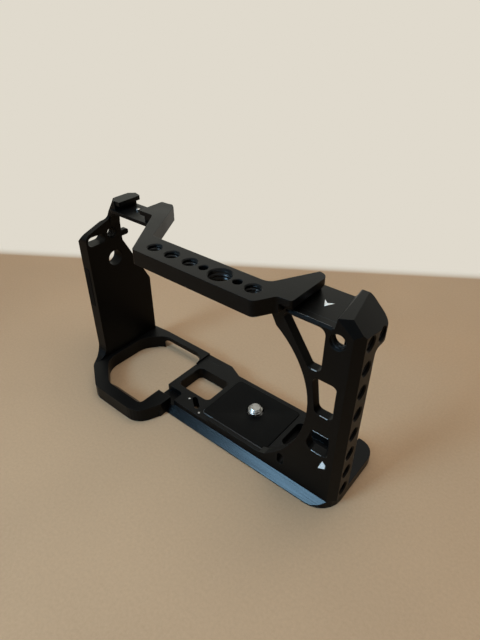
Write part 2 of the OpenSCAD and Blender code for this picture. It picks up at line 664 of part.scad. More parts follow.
// ---- Top plate ----
module top_plate() {
    color("#202123") difference() {
        slab([[plate_top_x + 1, plate_y], [column_x0, plate_y], [column_x0, ear_y1], [bar_x1 - 3.5, ear_y1, 1],
            [bar_x1 - 4.3, 6.5], [plate_top_x + 1, plate_y + 3.5]], deck_z - top_t, deck_z);
        // Room for the tip of a screw in the uppermost side hole
        translate([column_x0 - 1.6, hole_y, side_z + (hole_count - 1) * side_pitch]) rotate([0, 90, 0])
            cylinder(d = quarter_d + 0.6, h = 1.6 + over);
        for (p = top_screw_at) translate([p[0], p[1], deck_z - top_t]) screw_hole(2.5, top_screw_l);
        for (p = bar_screw_at) translate([p[0], p[1], deck_z - top_t]) screw_hole(small_d, bar_screw_l);
    }
}

// ---- Top bar ----
module top_bar() {
    color("#1f2022") difference() {
        union() {
            slab([[bar_left, bar_y0, 1], [bar_x1 - 8.9, bar_y0, 2.5], [bar_x1 - 5, face_y - 3.6, 2],
                [bar_x1, face_y - 3.2, 1], [bar_x1 + 0.3, face_y + 16.9, 3.2], [bar_x1 - 3.3, face_y + 17.7, 0.4],
                [bar_x1 - 11.9, bar_y1, 4], [max(bar_left - 2.6, rail_x1 + 7), bar_y1, 2],
                [rail_x1 + 0.75, 17.2], [rail_x1, 17.6], [rail_x1, shoe_y0], [rail_x1 + 1.15, 5]],
                deck_z, cage_h);
            // Right rail of the cold shoe
            slab([[shoe_x + shoe_slot_w / 2, shoe_y0], [rail_x1 + 0.7, shoe_y0], [rail_x1 + 0.7, 17.2, 1],
                [rail_x1 - 1.5, shoe_y0 + shoe_l + 0.5, 1], [shoe_x + shoe_slot_w / 2, shoe_y0 + shoe_l]],
                floor_z1, cage_h);
            slab([[shoe_x + shoe_gap / 2, shoe_y0], [rail_x1, shoe_y0], [rail_x1 - 1.5, shoe_y0 + shoe_l, 1],
                [shoe_x + shoe_gap / 2, shoe_y0 + shoe_l, 0.8]], cage_h - shoe_lip_t, cage_h);
        }
        // The block over the front frame is undercut at its front and side
        side_slab([[bar_y0 - over, deck_z - over], [face_y, deck_z - over], [face_y, deck_z],
            [face_y - 3.2, deck_z + 3.5], [bar_y0 - over, deck_z + 3.5]], bar_x1 - 4.3, bar_x1 + over);
        front_slab([[bar_x1 - 2, deck_z - over], [bar_x1 - 2, deck_z], [bar_x1 + 0.6, deck_z + 3.8],
            [bar_x1 + over, deck_z + 3.8], [bar_x1 + over, deck_z - over]], bar_y0, bar_y1 + 20);
        // Hole pattern
        translate([bar_hole_x, bar_hole_y, deck_z]) {
            tapped(big_d, bar_t);
            for (x = [big_pitch, -big_pitch, -big_pitch - quarter_pitch, -big_pitch - 2 * quarter_pitch])
                translate([x, 0, 0]) tapped(quarter_d, bar_t);
            for (x = [-pin_pitch, pin_pitch]) translate([x, 0, 0]) tapped(pin_hole_d, bar_t, over, 0.25);
        }
        for (p = bar_screw_at) translate([p[0], p[1], deck_z - top_t]) screw_hole(small_d, bar_screw_l);
        for (p = shoe_screw_at) translate([p[0], p[1], floor_z0]) screw_hole(2, shoe_screw_l);
        translate([dowel_at[0], dowel_at[1], deck_z - dowel_l / 2 - fit])
            cylinder(d = dowel_d + 2 * fit, h = dowel_l + 2 * fit);
    }
}

// ---- Cold shoe ----
module shoe_base() {
    color("#1b1c1e") difference() {
        union() {
            slab([[rail_x0 + 1.5, shoe_y0 - 1.2, 1], [rail_x1, shoe_y0 - 1.2, 1], [rail_x1, 16.7, 1],
                [rail_x0, 16.7, 1], [rail_x0, shoe_y0 + 1]], floor_z0, floor_z1);
            // Left rail
            slab([[rail_x0 + 2.6, shoe_y0], [rail_x0 + rail_w, shoe_y0],
                [rail_x0 + rail_w, shoe_y0 + shoe_l - 1], [rail_x0 + 2.5, shoe_y0 + shoe_l - 1],
                [rail_x0, 16], [rail_x0, shoe_y0 + 2.8, 1.5]], floor_z0, cage_h);
            slab([[rail_x0 + 2.6, shoe_y0], [shoe_x - shoe_gap / 2, shoe_y0], [shoe_x - shoe_gap / 2,
                shoe_y0 + shoe_l - 1, 0.8], [rail_x0 + 2.5, shoe_y0 + shoe_l], [rail_x0, 16],
                [rail_x0, shoe_y0 + 2.8, 1.5]], cage_h - shoe_lip_t, cage_h);
            // Leaning face over the post
            front_slab([[-side_x + post_lean, floor_z0], [rail_x0 + 2.6, cage_h],
                [rail_x0 + rail_w, cage_h], [rail_x0 + rail_w, floor_z0]], post_y0, post_y1);
            front_slab([[-side_x + 3.9, floor_z0], [rail_x0 + 0.2, cage_h], [rail_x0 + 2, cage_h],
                [rail_x0 + 2, floor_z0]], post_back_y, post_y1);
        }
        for (p = shoe_screw_at) translate([p[0], p[1], floor_z0]) screw_hole(2, shoe_screw_l);
        for (p = post_dowel_at) translate([p[0], p[1], post_dowel_z0 - fit])
            cylinder(d = post_dowel_d + 2 * fit, h = post_dowel_l + 2 * fit);
        translate([stop_pin_at[0], stop_pin_at[1], stop_pin_z0]) cylinder(d = stop_pin_d + 2 * fit, h = 4);
    }
}

// ---- Small pieces ----
module seat_pad() {
    color("#101112") difference() {
        pocket(pad_x - pad_w / 2, pad_x + pad_w / 2, pad_y0, pad_y0 + pad_d,
            base_t + pad_proud - pad_t, base_t + pad_proud, pad_r);
        translate([screw_x, screw_y, 0]) cylinder(d = pad_hole_d, h = cage_h);
    }
}

module camera_screw() {
    color("#b9b9bb") translate([screw_x, screw_y, 0]) difference() {
        union() {
            translate([0, 0, screw_rest_z]) cylinder(d = screw_head_d, h = screw_head_t);
            translate([0, 0, screw_rest_z]) cylinder(d = shank_d, h = web_z1 - screw_rest_z - fit);
            cylinder(d = neck_d, h = screw_tip_z);
            translate([0, 0, web_z1 + ring_t + fit])
                cylinder(d = shank_d, h = thread_z0 - web_z1 - ring_t - fit);
            translate([0, 0, thread_z0]) cylinder(d = screw_d, h = screw_tip_z - thread_z0 - 0.6);
            translate([0, 0, screw_tip_z - 0.6]) cylinder(d1 = screw_d, d2 = screw_d - 1.2, h = 0.6);
        }
        translate([0, 0, -over]) cylinder(d = screw_head_d, h = over + screw_rest_z);
        translate([-screw_head_d, -0.7, 0]) cube([2 * screw_head_d, 1.4, screw_rest_z + 0.8]);
    }
}

module retaining_ring() {
    color("#6d6f72") translate([screw_x, screw_y, web_z1]) difference() {
        cylinder(d = ring_d, h = ring_t);
        translate([0, 0, -over]) cylinder(d = neck_d + 4 * fit, h = ring_t + 2 * over);
        translate([-ring_mouth / 2, 0, -over]) cube([ring_mouth, ring_d, ring_t + 2 * over]);
    }
}

module flat_key() {
    color("#8d8f92") difference() {
        union() {
            front_slab([[key_x - key_w / 2 + 1, key_z0], [key_x + key_w / 2 - 1, key_z0],
                [key_x + key_w / 2, key_z0 + key_t], [key_x - key_w / 2, key_z0 + key_t]],
                key_y1 - key_l + key_blade_l, key_y1 - 2.4);
            front_slab([[key_x - 2, key_z0 + 0.6], [key_x + 2, key_z0 + 0.6], [key_x + 2, key_z0 + 1.6],
                [key_x - 2, key_z0 + 1.6]], key_y1 - key_l, key_y1 - key_l + key_blade_l + over);
        }
        translate([key_x, key_y1 - 6, 0]) cylinder(d = 3, h = base_t);
    }
}

module key_magnets() {
    color("#c8c9cb") for (y = [key_y1 - key_l + 8, key_y1 - 7])
        translate([key_x, y, key_ceiling]) cylinder(d = magnet_d, h = magnet_t);
}

module loop_screws() {
    color("#2a2b2d") for (p = loop_screw_at) translate([p[0], p[1], 0]) flat_screw(small_d, p[2]);
}

module wall_screws() {
    color("#2a2b2d") for (p = wall_screw_at) translate([p[0], p[1], 0]) flat_screw(large_d, wall_screw_l);
}

module frame_screws() {
    color("#2a2b2d") for (p = frame_screw_at) translate([p[0], p[1], 0]) flat_screw(small_d, frame_screw_l);
}

module top_plate_screws() {
    color("#2a2b2d") for (p = top_screw_at)
        translate([p[0], p[1], deck_z - top_t]) flat_screw(2.5, top_screw_l);
}

module bar_screws() {
    color("#2a2b2d") for (p = bar_screw_at)
        translate([p[0], p[1], deck_z - top_t]) flat_screw(small_d, bar_screw_l);
}

module bar_dowel() {
    color("#9a9b9d") translate([dowel_at[0], dowel_at[1], deck_z - dowel_l / 2])
        cylinder(d = dowel_d, h = dowel_l);
}

module shoe_screws() {
    color("#2a2b2d") for (p = shoe_screw_at) translate([p[0], p[1], floor_z0]) flat_screw(2, shoe_screw_l);
}

module post_dowels() {
    color("#9a9b9d") for (p = post_dowel_at)
        translate([p[0], p[1], post_dowel_z0]) cylinder(d = post_dowel_d, h = post_dowel_l);
}

module shoe_stop_pin() {
    color("#b0b1b3") translate([stop_pin_at[0], stop_pin_at[1], stop_pin_z0 + fit]) {
        cylinder(d = stop_pin_d, h = 1.6);
        translate([0, 0, 1.6]) cylinder(d1 = stop_pin_d, d2 = stop_pin_d - 0.6, h = 0.3);
    }
}

base_plate();
battery_loop();
grip_wall();
front_frame();
top_plate();
top_bar();
shoe_base();
seat_pad();
camera_screw();
retaining_ring();
flat_key();
key_magnets();
loop_screws();
wall_screws();
frame_screws();
top_plate_screws();
bar_screws();
bar_dowel();
shoe_screws();
post_dowels();
shoe_stop_pin();
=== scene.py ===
import math

import bpy
import bmesh
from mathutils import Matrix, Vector


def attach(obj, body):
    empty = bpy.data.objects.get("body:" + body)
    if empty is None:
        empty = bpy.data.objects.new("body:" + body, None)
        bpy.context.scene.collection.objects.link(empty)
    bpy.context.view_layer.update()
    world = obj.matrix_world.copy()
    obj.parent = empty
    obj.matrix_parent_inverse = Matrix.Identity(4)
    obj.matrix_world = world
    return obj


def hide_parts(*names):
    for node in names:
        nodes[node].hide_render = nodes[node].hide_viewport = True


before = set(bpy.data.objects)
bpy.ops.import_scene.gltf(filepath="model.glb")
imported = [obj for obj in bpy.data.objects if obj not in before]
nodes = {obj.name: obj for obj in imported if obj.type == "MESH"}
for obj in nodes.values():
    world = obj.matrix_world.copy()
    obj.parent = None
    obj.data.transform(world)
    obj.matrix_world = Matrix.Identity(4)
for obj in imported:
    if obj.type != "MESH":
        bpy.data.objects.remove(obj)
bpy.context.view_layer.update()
scene = bpy.context.scene

# Detail pieces are drawn in millimetres, as in the CAD source, and times MM they are in metres
MM = 0.001

# ---------------------------------------------------------------- places taken from the CAD
DECK_Z = 79.0                           # upper face of the top plate, on which the top bar lies
BAR_Y = -13.45                          # middle of the top bar
FRONT_Y = -9.0                          # front face of the front frame
COLUMN_X = 61.0                         # inner face of the side column
SCREW_AT = (17.9, 9.3)                  # axis of the camera screw
PAD = (0.05, 34.55, -6.3, 20.7, 2.0)    # rubber pad: x from and to, y from and to, corner radius
PAD_HOLE_R = 3.725
STRIP = (-67.9, -64.1, 35.5, 55.5, 0.9)  # strip on the grip wall: the same in x and z
QUARTER = (2.55, 1.27)                  # wall radius and pitch of a 1/4"-20 tapped hole
LARGE = (3.97, 1.59)                    # the same for the 3/8"-16 hole
UP, RIGHT, LEFT, FORWARD = (0, 0, 1), (1, 0, 0), (-1, 0, 0), (0, -1, 0)

# ---------------------------------------------------------------- camera
cam_data = bpy.data.cameras.new("camera")
cam_data.lens = 27.225
cam_data.sensor_width = 36.0
cam_data.clip_start = 0.01
cam_data.clip_end = 20
cam = bpy.data.objects.new("camera", cam_data)
cam.location = (109.47 * MM, -113.94 * MM, 160 * MM)
cam.rotation_euler = tuple(math.radians(a) for a in (55.4996, -0.2472, 39.3699))
scene.collection.objects.link(cam)
scene.camera = cam


# ---------------------------------------------------------------- node helpers
class Nodes:
    """Adds nodes to a tree and joins them. A value is a number, a colour or another socket."""

    # Sockets of the Mix node: first value, second value and result, for colours and for numbers
    COLOUR = (6, 7, 2)
    NUMBER = (2, 3, 0)

    def __init__(self, tree):
        self.tree = tree

    def add(self, kind, **values):
        n = self.tree.nodes.new(kind)
        for k, v in values.items():
            setattr(n, k, v)
        return n

    def feed(self, sock, value):
        if isinstance(value, bpy.types.NodeSocket):
            self.tree.links.new(value, sock)
        elif isinstance(value, tuple) and sock.type == "RGBA":
            sock.default_value = value + (1.0,)
        else:
            sock.default_value = value

    def span(self, value, a, b, c=0.0, d=1.0, smooth=False):
        """Carries the range a to b over to c to d, and holds at its ends."""
        kind = "SMOOTHSTEP" if smooth else "LINEAR"
        m = self.add("ShaderNodeMapRange", interpolation_type=kind)
        names = ("Value", "From Min", "From Max", "To Min", "To Max")
        for name, v in zip(names, (value, a, b, c, d)):
            self.feed(m.inputs[name], v)
        return m.outputs["Result"]

    def math(self, op, a, b):
        m = self.add("ShaderNodeMath", operation=op)
        self.feed(m.inputs[0], a)
        self.feed(m.inputs[1], b)
        return m.outputs[0]

    def dot(self, a, b):
        m = self.add("ShaderNodeVectorMath", operation="DOT_PRODUCT")
        self.feed(m.inputs[0], a)
        self.feed(m.inputs[1], b)
        return m.outputs["Value"]

    def axes(self, vector):
        m = self.add("ShaderNodeSeparateXYZ")
        self.feed(m.inputs[0], vector)
        return m.outputs

    def mix(self, fac, a, b, blend="MIX"):
        m = self.add("ShaderNodeMix", data_type="RGBA", blend_type=blend)
        return self.mixed(m, fac, a, b, self.COLOUR)

    def mix_numbers(self, fac, a, b):
        return self.mixed(self.add("ShaderNodeMix"), fac, a, b, self.NUMBER)

    def mixed(self, m, fac, a, b, sockets):
        first, second, result = sockets
        self.feed(m.inputs[0], fac)
        self.feed(m.inputs[first], a)
        self.feed(m.inputs[second], b)
        return m.outputs[result]


class Finish(Nodes):
    """A new material: its nodes, its shader and the coordinates of the object it is on."""

    def __init__(self, name):
        self.mat = bpy.data.materials.new(name)
        self.mat.use_nodes = True
        super().__init__(self.mat.node_tree)
        self.bsdf = self.tree.nodes["Principled BSDF"]
        self.coord = self.add("ShaderNodeTexCoord").outputs["Object"]

    def shade(self, **sockets):
        """Feeds the shader's sockets, named with _ for each space."""
        for name, value in sockets.items():
            self.feed(self.bsdf.inputs[name.replace("_", " ")], value)

    def noise(self, scale, detail, rough, stretch=None):
        place = self.coord
        if stretch:
            m = self.add("ShaderNodeMapping")
            m.inputs["Scale"].default_value = stretch
            self.feed(m.inputs["Vector"], place)
            place = m.outputs["Vector"]
        n = self.add("ShaderNodeTexNoise")
        names = ("Scale", "Detail", "Roughness", "Vector")
        for name, v in zip(names, (scale, detail, rough, place)):
            self.feed(n.inputs[name], v)
        return n.outputs["Fac"]

    def ramp(self, fac, stops):
        r = self.add("ShaderNodeValToRGB")
        for e, (pos, col) in zip(r.color_ramp.elements, stops):
            e.position = pos
            e.color = col + (1.0,)
        self.feed(r.inputs["Fac"], fac)
        return r.outputs["Color"]

    def bump(self, height, strength, distance, normal=None):
        b = self.add("ShaderNodeBump")
        b.inputs["Strength"].default_value = strength
        b.inputs["Distance"].default_value = distance
        self.feed(b.inputs["Height"], height)
        if normal is not None:
            self.feed(b.inputs["Normal"], normal)
        return b.outputs["Normal"]

    def rounded(self, radius):
        """Normal with rounded edges."""
        bevel = self.add("ShaderNodeBevel", samples=4)
        bevel.inputs["Radius"].default_value = radius
        return bevel.outputs["Normal"]

    def lean(self, normal):
        """How far a rounded normal leans from the true face: 1 on an edge."""
        true = self.add("ShaderNodeNewGeometry").outputs["Normal"]
        return self.span(self.dot(normal, true), 0.995, 0.86)


# ---------------------------------------------------------------- materials
WEAR_AND_HIGHLIGHT = (0.03, 0.03, 0.029)              # lighter edge tone: partly where the black layer is rubbed thin, partly a painted highlight
FLANK_WAY = (0.0, -0.7071, 0.7071)      # the dovetail's front flank faces this way
FLANK_TOP = 30 * MM                     # above the base such a face is a blasted chamfer


def anodised(name, base=0.0009, rough=0.40, ior=1.225, flank=False):
    """Bead-blasted aluminium with a black anodised layer, a little lighter on its edges, partly
    from wear and partly as a painted highlight.
    With flank, the dovetail's flank is milled smooth and the chamfers above it are duller."""
    n = Finish(name)
    rounded = n.rounded(0.22 * MM)
    cloud = n.noise(55, 4, 0.6)
    grain = n.noise(5200, 2, 0.5)
    tone = n.ramp(cloud, [(0.3, (base * 0.8,) * 3), (0.75, (base * 1.3, base * 1.3, base * 1.25))])
    fleck = n.span(n.noise(900, 6, 0.7), 0.45, 0.75, 0.25, 1.0)
    # Edge mask: the lighter colour on edges is part edge wear and part painted highlight
    wear_and_highlight = n.math("MULTIPLY", n.lean(rounded), fleck)
    finish = n.math("ADD", n.span(cloud, 0.25, 0.8, rough - 0.04, rough + 0.06),
                    n.span(grain, 0.3, 0.7, -0.03, 0.03))
    height = grain
    if flank:
        normal = n.add("ShaderNodeTexCoord").outputs["Normal"]
        facing = n.span(n.dot(normal, FLANK_WAY), 0.9, 0.97)
        high = n.span(n.axes(n.coord)["Z"], FLANK_TOP, FLANK_TOP + 10 * MM)
        dull = n.math("MULTIPLY", facing, high)
        milled = n.math("SUBTRACT", facing, dull)
        finish = n.math("ADD", finish, n.math("MULTIPLY", dull, 0.3))
        lines = n.noise(1500, 2, 0.5, stretch=(0.03, 1.0, 1.0))
        finish = n.mix_numbers(milled, finish, n.span(lines, 0.3, 0.7, 0.22, 0.3))
        height = n.math("MULTIPLY", grain, n.span(milled, 0.0, 1.0, 1.0, 0.3))
    n.shade(Base_Color=n.mix(n.math("MULTIPLY", wear_and_highlight, 0.5), tone, WEAR_AND_HIGHLIGHT), Roughness=finish,
            IOR=ior, Normal=n.bump(height, 0.22, 0.02 * MM, rounded))
    return n.mat


def rubber(name):
    """Matt moulded pad with a fine pebble grain."""
    n = Finish(name)
    pebble = n.add("ShaderNodeTexVoronoi")
    n.feed(pebble.inputs["Scale"], 2600)
    n.feed(pebble.inputs["Vector"], n.coord)
    dust = n.noise(160, 5, 0.65)
    tone = n.ramp(dust, [(0.35, (0.0006, 0.0006, 0.0006)), (0.8, (0.0014, 0.0014, 0.0013))])
    n.shade(Base_Color=tone, Roughness=n.span(dust, 0.3, 0.8, 0.5, 0.62), IOR=1.15,
            Normal=n.bump(pebble.outputs["Distance"], 0.35, 0.03 * MM, n.rounded(0.15 * MM)))
    return n.mat


def steel(name, tone=(0.56, 0.55, 0.53), rough=0.3, stretch=(0.15, 0.15, 3.0)):
    """Machined steel: fine tool lines along the short axes of stretch, a little staining."""
    n = Finish(name)
    stain = n.noise(380, 5, 0.6)
    lines = n.noise(2500, 2, 0.5, stretch=stretch)
    stained = tuple(v * 0.72 for v in tone)
    n.shade(Base_Color=n.ramp(stain, [(0.3, stained), (0.7, tone)]), Metallic=1.0,
            Roughness=n.span(stain, 0.3, 0.75, rough - 0.06, rough + 0.1),
            Normal=n.bump(lines, 0.25, 0.02 * MM, n.rounded(0.12 * MM)))
    return n.mat


def ink(name):
    """White printed mark, thin enough to let the metal's grain through."""
    n = Finish(name)
    grain = n.noise(2400, 3, 0.6)
    n.shade(Base_Color=n.ramp(grain, [(0.25, (0.42, 0.42, 0.41)), (0.55, (0.72, 0.72, 0.70))]),
            Roughness=0.55, Normal=n.bump(grain, 0.15, 0.02 * MM))
    return n.mat


frame_black = anodised("anodised_black", flank=True)
base_black = anodised("anodised_base", ior=1.24, flank=True)
# Thread ridges lighter than the frame's black: a painted highlight for the glints on the hole rims
thread_black_painted_highlight = anodised("anodised_thread_painted_highlight", base=0.007, rough=0.3, ior=1.3)
# Darker, less reflective copy of the anodised finish for the grip wall: painted shade
wall_black_painted_shade = anodised("anodised_wall_painted_shade", base=0.0007, ior=1.185)
# Lighter, glossier finish for the pad's front edge: the lighter colour is a painted highlight
pad_edge_painted_highlight = anodised("pad_edge_painted_highlight", base=0.02, rough=0.34, ior=1.45)
# Light grey copy of the anodised finish: a painted highlight for the edge-break strips
painted_highlight_lips = anodised("edge_painted_highlight", base=0.22, rough=0.35, ior=1.45)
pad_rubber = rubber("pad_rubber")
bright_steel = steel("bright_steel")
flat_steel = steel("flat_steel", stretch=(3.0, 0.12, 1.0))
dark_steel = steel("dark_steel", tone=(0.06, 0.06, 0.062), rough=0.34)
white_ink = ink("white_ink")

LOOKS = {
    "base_plate": base_black, "battery_loop": frame_black, "grip_wall": wall_black_painted_shade,
    "front_frame": frame_black, "top_plate": frame_black, "top_bar": frame_black,
    "shoe_base": frame_black, "seat_pad": pad_rubber, "camera_screw": bright_steel,
    "retaining_ring": bright_steel, "flat_key": flat_steel, "key_magnets": bright_steel,
    "loop_screws": dark_steel, "wall_screws": dark_steel, "frame_screws": dark_steel,
    "top_plate_screws": dark_steel, "bar_screws": dark_steel, "bar_dowel": bright_steel,
    "shoe_screws": dark_steel, "post_dowels": bright_steel, "shoe_stop_pin": bright_steel,
}
for name, mat in LOOKS.items():
    for s in nodes[name].material_slots:
        s.material = mat


# ---------------------------------------------------------------- shape helpers
SHARP = math.radians(32)        # edges that turn by less than this shade smooth


def dress(name, bm, mats, body):
    """Turns a bmesh in metres into a piece that rides on a body."""
    bmesh.ops.recalc_face_normals(bm, faces=bm.faces)
    for e in bm.edges:
        e.smooth = e.calc_face_angle(0.0) < SHARP
    me = bpy.data.meshes.new(name)
    bm.to_mesh(me)
    bm.free()
    for mat in mats:
        me.materials.append(mat)
    ob = bpy.data.objects.new(name, me)
    scene.collection.objects.link(ob)
    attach(ob, body)
    return ob


def piece(name, verts, faces, mat, body, smooth=True):
    """A piece from corners in millimetres and faces that count them."""
    bm = bmesh.new()
    corners = [bm.verts.new(Vector(v) * MM) for v in verts]
    for f in faces:
        bm.faces.new([corners[i] for i in f]).smooth = smooth
    bmesh.ops.remove_doubles(bm, verts=bm.verts, dist=1e-7)
    return dress(name, bm, [mat], body)


def tube_faces(rows, count):
    """Faces between rows of count points each, closed at both ends."""
    faces = []
    for k in range(rows - 1):
        a, b = k * count, (k + 1) * count
        for i in range(count):
            j = (i + 1) % count
            faces.append((a + i, a + j, b + j, b + i))
    last = (rows - 1) * count
    return faces + [tuple(range(count))[::-1], tuple(range(last, last + count))]


def circle(centre, r, segs):
    turns = [2 * math.pi * i / segs for i in range(segs)]
    return [(centre[0] + r * math.cos(a), centre[1] + r * math.sin(a)) for a in turns]


def rounded_rect(x0, x1, y0, y1, r, inset=0.0, segs=8):
    """Points round a rectangle with rounded corners, drawn in by inset."""
    x0, x1, y0, y1 = x0 + inset, x1 - inset, y0 + inset, y1 - inset
    r = max(r - inset, 0.05)
    corners = ((x1 - r, y1 - r), (x0 + r, y1 - r), (x0 + r, y0 + r), (x1 - r, y0 + r))
    pts = []
    for k, (x, y) in enumerate(corners):
        for i in range(segs + 1):
            a = math.radians(90 * k + 90 * i / segs)
            pts.append((x + r * math.cos(a), y + r * math.sin(a)))
    return pts


def turned(name, centre, profile, mat, body, segs=48):
    """Solid of revolution about +Z from (radius, height) pairs, closed at both ends."""
    verts = [(x, y, z) for r, z in profile for x, y in circle(centre, r, segs)]
    return piece(name, verts, tube_faces(len(profile), segs), mat, body)


def helix(centre, axis, r_root, r_crest, length, pitch, segs=40):
    """Corners and faces of a closed screw-thread ridge, which fades out at its ends."""
    foot, crest = 0.42, 0.08    # half widths of the ridge, times the pitch
    a = Vector(axis).normalized()
    u = a.orthogonal().normalized()
    v = a.cross(u)
    steps = max(int(length / pitch * segs), segs)
    verts = []
    for i in range(steps + 1):
        t = i / steps
        ang = 2 * math.pi * i / segs
        fade = min(1.0, 6 * t, 6 * (1 - t))
        rc = r_root + (r_crest - r_root) * fade
        h = t * (length - pitch * 0.8) + pitch * 0.4
        d = u * math.cos(ang) + v * math.sin(ang)
        for r, dz in ((r_root, -foot), (rc, -crest), (rc, crest), (r_root, foot)):
            verts.append(Vector(centre) + d * r + a * (h + dz * pitch))
    return verts, tube_faces(steps + 1, 4)


# ---------------------------------------------------------------- threads of the tapped holes
IN_BAR, IN_COLUMN = 5.4, 6.75   # lengths that end about 0.4 short of the hole's mouth
SUNK, PROUD = 0.02, 0.36        # how far a ridge reaches into the wall and stands out of it

# Where the thread starts at the inner end of its hole, its way to the mouth, length, and size
HOLES = {}
for i, x in enumerate((-11.2, -2.65, 5.9, 32.5)):
    HOLES["thread_top_%d" % (i + 1)] = ((x, BAR_Y, DECK_Z), UP, IN_BAR, QUARTER)
HOLES["thread_top_large"] = ((19.2, BAR_Y, DECK_Z), UP, IN_BAR, LARGE)
for i in range(8):
    start = (COLUMN_X, -2.6, 7.7 + 9.55 * i)
    HOLES["thread_side_%d" % (i + 1)] = (start, RIGHT, IN_COLUMN, QUARTER)
HOLES["thread_ear"] = ((COLUMN_X, 5.4, 73.6), RIGHT, IN_COLUMN, QUARTER)
HOLES["thread_front"] = ((60.5, -5.5, 75.0), FORWARD, 3.1, QUARTER)
HOLES["thread_grip"] = ((-62.2, 5.3, 69.1), LEFT, 5.5, QUARTER)
for name, (start, way, length, (r, pitch)) in HOLES.items():
    verts, faces = helix(start, way, r + SUNK, r - PROUD, length, pitch)
    piece(name, verts, faces, thread_black_painted_highlight, "frame")


# ---------------------------------------------------------------- printed marks and painted edge highlights
def plate_mark(name, pts, normal):
    """Thin printed mark with a bevelled edge, standing 0.02 mm proud."""
    n = Vector(normal)
    pts = [Vector(p) for p in pts]
    mid = sum(pts, Vector()) / len(pts)
    verts = [p - n * 0.05 for p in pts] + [p + n * 0.012 for p in pts]
    verts += [mid + (p - mid) * 0.97 + n * 0.02 for p in pts]
    piece(name, verts, tube_faces(3, len(pts)), white_ink, "frame", smooth=False)


# An arrow head with a notched back on the top plate, a pointer on the front wall
ARROW = ((48.3, 3.5), (50.2, -0.1), (52.0, 3.2), (50.0, 2.0))
POINTER = ((61.35, 23.4), (60.0, 18.8), (62.6, 20.0), (62.75, 21.9))
plate_mark("mark_top", [(x, y, DECK_Z) for x, y in ARROW], UP)
plate_mark("mark_front", [(x, FRONT_Y, z) for x, z in POINTER], FORWARD)


# Thin strips along the edge breaks, coloured light grey as a painted highlight, where a face that
# looks to -Y meets one that looks up:
# x from and to, y, z, width
HIGHLIGHT_LIPS = {
    "highlight_lip_tall_window": (52.9, 54.9, FRONT_Y, 61.0, 0.3),
    "highlight_lip_slanted_window": (57.9, 60.9, FRONT_Y, 43.6, 0.3),
    "highlight_lip_low_window_top": (56.2, 62.2, FRONT_Y, 35.4, 0.3),
    "highlight_lip_low_window": (56.2, 60.6, FRONT_Y, 25.6, 0.3),
    "highlight_lip_top_plate": (42.5, 57.6, -8.27, 78.97, 0.16),
}
for name, (x0, x1, y, z, width) in HIGHLIGHT_LIPS.items():
    h = width / 2
    verts = [(x, y + dy, z + dz) for x in (x0, x1) for dy, dz in ((-h, -h), (h, h), (h, -h))]
    piece(name, verts, tube_faces(2, 3), painted_highlight_lips, "frame", smooth=False)


# ---------------------------------------------------------------- pins, strip, pad and screw
# Two small steel pins pressed in beside the slanting slot, with crowned heads
for name, x, y in (("pin_rear", -9.9, -3.6), ("pin_front", -0.5, -7.4)):
    turned(name, (x, y), [(0.5, 5.0), (0.5, 6.02), (0.42, 6.1), (0.22, 6.16), (0.05, 6.17)],
           bright_steel, "frame")

# Rubber strip let into the front edge of the grip wall: inset and y of its rows, from the wall out
STRIP_ROWS = ((0.0, -8.3), (0.0, -8.56), (0.15, -8.66))
rows = [[(x, y, z) for x, z in rounded_rect(*STRIP, inset)] for inset, y in STRIP_ROWS]
piece("grip_strip", sum(rows, []), tube_faces(len(rows), len(rows[0])), pad_rubber,
      "frame")


def seat():
    """Rubber pad with a broken edge, lighter along the front as a painted highlight, and a
    chamfered hole round the screw.
    """
    bm = bmesh.new()

    def ring(pts, z):
        return [bm.verts.new(Vector((x, y, z)) * MM) for x, y in pts]

    outer = [ring(rounded_rect(*PAD, inset), z)
             for inset, z in ((0.0, 5.3), (0.0, 6.02), (0.1, 6.16), (0.32, 6.3))]
    inner = [ring(circle(SCREW_AT, r, 60), z)
             for r, z in ((PAD_HOLE_R, 5.3), (PAD_HOLE_R, 6.1), (3.85, 6.25), (3.95, 6.3))]
    for side in (outer, inner):
        for a, b in zip(side, side[1:]):
            for i in range(len(a)):
                j = (i + 1) % len(a)
                bm.faces.new((a[i], a[j], b[j], b[i]))
    for k in (0, -1):
        edges = [bm.edges.get((pts[i], pts[(i + 1) % len(pts)]))
                 for pts in (outer[k], inner[k]) for i in range(len(pts))]
        bmesh.ops.triangle_fill(bm, use_beauty=True, edges=edges)
    for f in bm.faces:
        f.smooth = True
    ob = dress("seat_rubber", bm, [pad_rubber, pad_edge_painted_highlight], "frame")
    # The broken edge along the front gets a lighter, glossier finish: its lighter colour is a
    # painted highlight
    for p in ob.data.polygons:
        if 0.2 < p.normal.z < 0.95 and p.center.y < 0:
            p.material_index = 1
    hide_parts("seat_pad")


